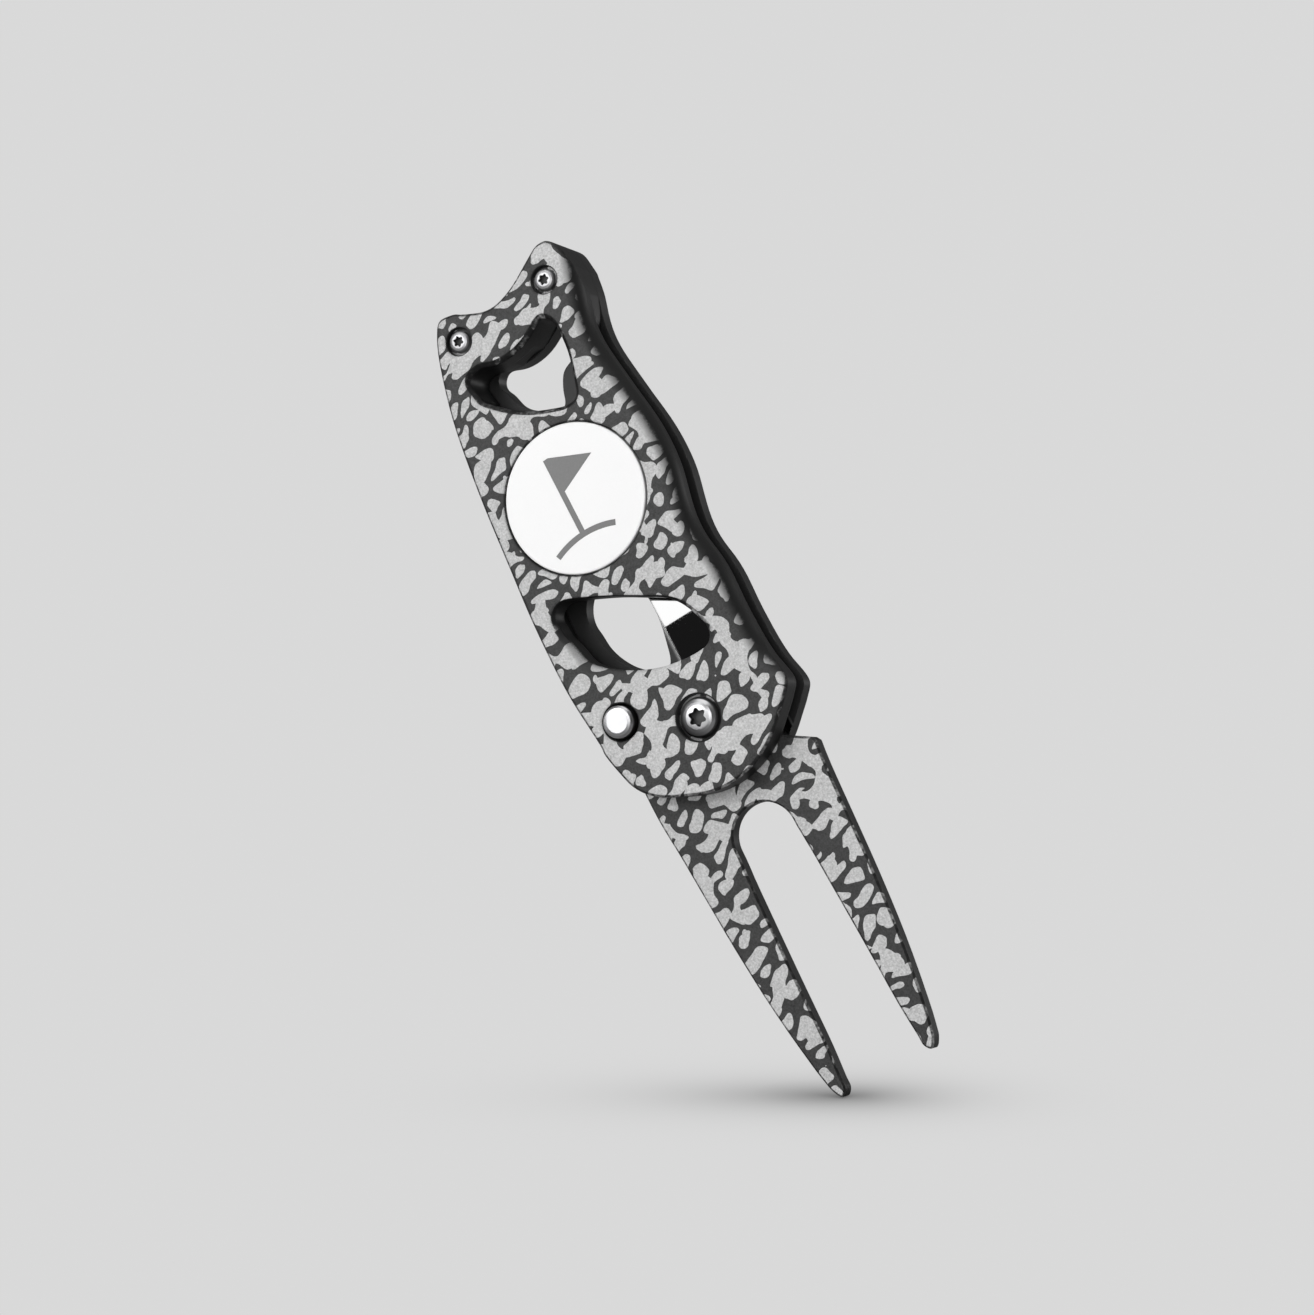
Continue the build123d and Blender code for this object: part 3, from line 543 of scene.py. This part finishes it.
materials = {
    # the shell's print goes darker over its rounded side, as ink fade and painted shade
    "front_shell": print_material("shell_print", shift=(0.0, 0.0, 0.0), soft_radius=0.0006,
                                  fades_and_shades=True, rims=rims),
    "fork": print_material("fork_print", shift=(0.213, 0.0, 0.117), soft_radius=0.00012,
                           both_faces=True),
    "back_shell": black_material("shell_black"),
    "release_button": metal_material("button_polished", (0.50, 0.50, 0.51), rough=0.30,
                                     scratch=0.35, axis=button),
    "pivot_screw": metal_material("screw_polished", (0.60, 0.60, 0.61), rough=0.34,
                                  scratch=0.5, axis=pivot, heads=pivot_head, dome=0.07),
    "body_screws": metal_material("screw_heads", (0.56, 0.56, 0.57), rough=0.46,
                                  scratch=0.6, heads=screw_heads, dome=0.06),
    "pivot_barrel": metal_material("barrel_dark", DARK_STEEL, rough=0.32, scratch=0.5,
                                   axis=pivot),
    "screw_inserts": metal_material("inserts_dark", DARK_STEEL, rough=0.32, scratch=0.5),
    "fork_bushing": metal_material("bronze", (0.62, 0.42, 0.22), rough=0.38, scratch=0.5,
                                   axis=pivot, stain=(0.25, 0.15, 0.08, 1.0)),
    "torsion_spring": metal_material("spring_wire", WIRE, rough=0.25, scratch=0.5),
    "button_spring": metal_material("spring_wire_fine", WIRE, rough=0.25, scratch=0.5),
    "marker_magnet": metal_material("nickel", (0.66, 0.64, 0.60), rough=0.18, scratch=0.3,
                                    axis=magnet),
    "locating_pins": metal_material("pin_steel", WIRE, rough=0.22, scratch=0.4),
    "stop_pin": metal_material("stop_steel", WIRE, rough=0.22, scratch=0.4),
    "ball_marker": marker_material("enamel_white", level=0.80, rough=0.30),
    "marker_emblem": marker_material("enamel_dark", level=0.085, rough=0.35),
    "pivot_washer_front": plastic_material("acetal_a", ACETAL),
    "pivot_washer_back": plastic_material("acetal_b", ACETAL),
}
for name, piece in nodes.items():
    if not piece.material_slots:
        piece.data.materials.append(materials[name])
    for slot in piece.material_slots:
        slot.material = materials[name]

# ---------------------------------------------------------------- the view
# Axes of the camera; BACK points from the tool towards it.
RIGHT = Vector((0.804284, 0.392101, -0.446524))
UP = Vector((0.497299, -0.032774, 0.866960))
BACK = Vector((0.325302, -0.919338, -0.221351))
EYE = Vector((0.150107, -0.430503, -0.030242))

camera_data = bpy.data.cameras.new("camera")
camera_data.sensor_width = 36.0
camera_data.lens = 82.1292776
camera_data.clip_start = 0.01
camera_data.clip_end = 20.0
camera = bpy.data.objects.new("camera", camera_data)
scene.collection.objects.link(camera)
turn = Matrix((RIGHT, UP, BACK)).transposed()
camera.matrix_world = Matrix.Translation(EYE) @ turn.to_4x4()
scene.camera = camera

# ---------------------------------------------------------------- floor
PALE = 0.695  # grey of the floor and of the backdrop
FLOOR_TILT = math.radians(5.0)  # from the camera's up, towards the camera
FLOOR_HALF = 1.5
FLOOR_GAP = 0.00002

floor_normal = (UP * math.cos(FLOOR_TILT) + BACK * math.sin(FLOOR_TILT)).normalized()
fork_points = [vertex.co for vertex in nodes["fork"].data.vertices]
foot = min(fork_points, key=lambda point: point.dot(floor_normal)) - floor_normal * FLOOR_GAP
floor_right = (RIGHT - floor_normal * RIGHT.dot(floor_normal)).normalized()
floor_away = floor_normal.cross(floor_right)


def floor_material():
    """Pale grey from above and clear from below, with a painted contact shadow."""
    material, graph = new_material("floor")
    geometry = graph.node("ShaderNodeNewGeometry").outputs
    position = geometry["Position"]
    from_foot = graph.vector("SUBTRACT", position, tuple(foot))
    # a painted contact shadow, deepest under the tip and drawn out to the left
    across = graph.dot(from_foot, tuple(floor_right))
    across = graph.mul(across, graph.ramp(across, start=-0.002, end=0.006, low=1.0, high=1.7))
    squeeze, reach, falloff, depth = 2.4, 0.021, 1.25, 0.62
    along = graph.mul(graph.dot(from_foot, tuple(floor_away)), squeeze)
    distance = graph.math("DIVIDE", graph.hypot(across, along), reach)
    fall = graph.mul(graph.math("POWER", distance, falloff), -1.0)
    pool = graph.mul(graph.math("EXPONENT", fall), depth)
    # more painted shade: ambient occlusion near the tool darkens the floor's grey
    occlusion = graph.node("ShaderNodeAmbientOcclusion", {"Distance": 0.010}, samples=8)
    occlusion_power = 0.35
    near = graph.math("POWER", occlusion.outputs["AO"], occlusion_power)
    shade = graph.mul(graph.sub(1.0, pool), near)
    speckle = graph.noise(position, scale=700.0)
    shade = graph.mul(shade, graph.plus(0.997, speckle, by=0.006))
    # the floor lights the tool less than it shows to the camera
    glow = graph.node("ShaderNodeEmission", {
        "Color": graph.grey(graph.mul(shade, PALE)),
        "Strength": graph.mix_value(graph.camera_ray(), 0.35, 1.0),
    })
    clear = graph.node("ShaderNodeBsdfTransparent")
    surface = graph.node("ShaderNodeMixShader", {
        0: graph.sub(1.0, geometry["Backfacing"]),
        1: clear.outputs[0],
        2: glow.outputs[0],
    })
    graph.node("ShaderNodeOutputMaterial", {0: surface.outputs[0]})
    return material


corners = [tuple(foot + floor_right * i * FLOOR_HALF + floor_away * j * FLOOR_HALF)
           for i, j in ((-1, -1), (1, -1), (1, 1), (-1, 1))]
floor_mesh = bpy.data.meshes.new("floor")
floor_mesh.from_pydata(corners, [], [(0, 1, 2, 3)])
floor = bpy.data.objects.new("floor", floor_mesh)
scene.collection.objects.link(floor)
floor_mesh.materials.append(floor_material())

# ---------------------------------------------------------------- light
PANEL_Y = -0.465
centre = (cad_lo + cad_hi) / 2


def area_light(name, width, height, location, axes):
    """Rectangular light unseen by the camera, shining against its third axis."""
    light = bpy.data.lights.new(name, "AREA")
    light.shape = "RECTANGLE"
    light.size = width
    light.size_y = height
    lamp = bpy.data.objects.new(name, light)
    lamp.visible_camera = False
    scene.collection.objects.link(lamp)
    lamp.location = location
    lamp.rotation_mode = "QUATERNION"
    lamp.rotation_quaternion = Matrix(axes).transposed().to_quaternion()
    return lamp


def softbox(name, direction, distance, width, height, power):
    """Light at a direction (right, up, back of the view) from the tool."""
    right, up, back = direction
    z = (RIGHT * right + UP * up + BACK * back).normalized()
    y = (UP - z * UP.dot(z)).normalized()
    lamp = area_light(name, width, height, centre + z * distance, (y.cross(z), y, z))
    lamp.data.energy = power
    return lamp


def panel(name, x0, x1, z0, z1, radiance):
    """Soft panel in front of the tool, facing it, with edges along X and Z."""
    location = ((x0 + x1) / 2, PANEL_Y, (z0 + z1) / 2)
    light = area_light(name, x1 - x0, z1 - z0, location,
                       ((1, 0, 0), (0, 0, 1), (0, -1, 0))).data
    light.energy = radiance * math.pi * light.size * light.size_y


panel("panel_high", x0=-0.46, x1=0.10, z0=0.194, z1=0.56, radiance=3.5)
panel("panel_left", x0=-0.25, x1=-0.165, z0=0.02, z1=0.194, radiance=4.2)
panel("panel_right", x0=0.02, x1=0.34, z0=-0.08, z1=0.22, radiance=2.6)
softbox("top", (-0.10, 1.0, 0.12), distance=0.55, width=0.50, height=0.40, power=0.85)
softbox("fill", (0.70, -0.45, 0.60), distance=0.62, width=0.30, height=0.40, power=0.75)
# a small low lamp evens out the fork; it makes no highlights of its own
low_lamp = softbox("low", (0.05, -0.385, 0.923), distance=0.13, width=0.08, height=0.05,
                   power=0.022)
low_lamp.visible_glossy = False


def build_world():
    """The camera sees an even pale grey; the tool sees a darker, uneven room."""
    world = bpy.data.worlds.new("world")
    scene.world = world
    graph = empty_graph(world)
    direction = graph.node("ShaderNodeTexCoord").outputs["Generated"]
    up, right, back = (graph.dot(direction, tuple(axis)) for axis in (UP, RIGHT, BACK))
    # brighter above and to both sides
    room = graph.plus(0.11, graph.ramp(up, start=-0.2, end=0.9), by=0.26)
    room = graph.plus(room, graph.ramp(right, start=0.4, end=-0.8), by=0.10)
    room = graph.plus(room, graph.ramp(right, start=0.2, end=0.9), by=0.10)
    # dimmer far behind the tool and round the camera
    room = graph.mul(room, graph.ramp(back, start=-0.9, end=0.4, low=0.5))
    room = graph.mul(room, graph.ramp(back, start=0.30, end=0.66, low=1.0, high=0.12))
    # a soft glow behind the tool, to the right and low, shows its black back
    glow = Vector((0.70, 0.62, -0.36)).normalized()
    behind = graph.dot(direction, tuple(glow))
    room = graph.plus(room, graph.ramp(behind, start=0.86, end=0.98), by=3.4)
    strength = graph.mix_value(graph.camera_ray(), room, PALE)
    background = graph.node("ShaderNodeBackground", {0: (1.0, 1.0, 1.0, 1.0), 1: strength})
    graph.node("ShaderNodeOutputWorld", {0: background.outputs[0]})


build_world()
